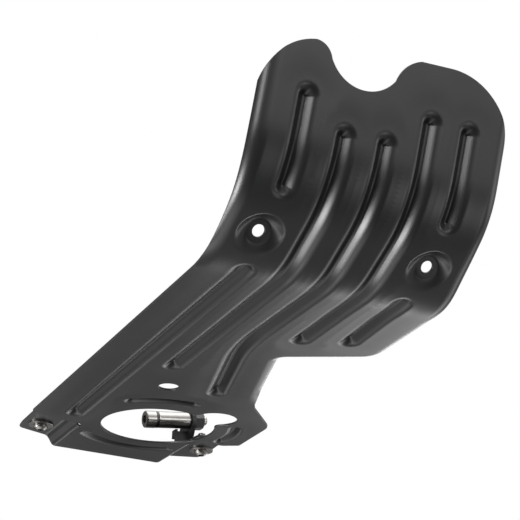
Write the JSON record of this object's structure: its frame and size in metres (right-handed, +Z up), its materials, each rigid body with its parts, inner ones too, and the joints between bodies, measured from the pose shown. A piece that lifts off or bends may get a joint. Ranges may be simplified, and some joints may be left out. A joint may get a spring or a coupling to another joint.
{
  "type": "motorcycle skid plate",
  "caption": "Black pressed-sheet skid plate, upturned and beaded at the front, with a round access opening and clamp hardware on its rear pads; it shields the underside of a motorcycle engine.",
  "frame": {"origin": "centre of the round access opening on the outer (lower) face of the bottom panel", "axes": "+X forward, +Y to the rider's left, +Z up; the bottom panel is level"},
  "size_m": [0.4334, 0.1612, 0.0995],
  "materials": {
    "black_paint": "satin",
    "bright_zinc": "satin",
    "bracket_black": "satin"
  },
  "bodies": {
    "root": {"skid_plate": "black_paint", "tab_screw_left": "bright_zinc", "tab_screw_right": "bright_zinc", "tab_washer_left": "bright_zinc", "tab_washer_right": "bright_zinc", "tab_nut_left": "bracket_black", "tab_nut_right": "bracket_black", "clamp_bracket_left": "bracket_black", "clamp_bracket_right": "bracket_black", "clamp_bolt_left": "bright_zinc", "clamp_bolt_right": "bright_zinc", "lock_washer_left": "bright_zinc", "lock_washer_right": "bright_zinc", "clamp_sleeve_left": "bright_zinc", "clamp_sleeve_right": "bright_zinc", "clamp_nut_left": "bracket_black", "clamp_nut_right": "bracket_black"}
  },
  "joints": []
}
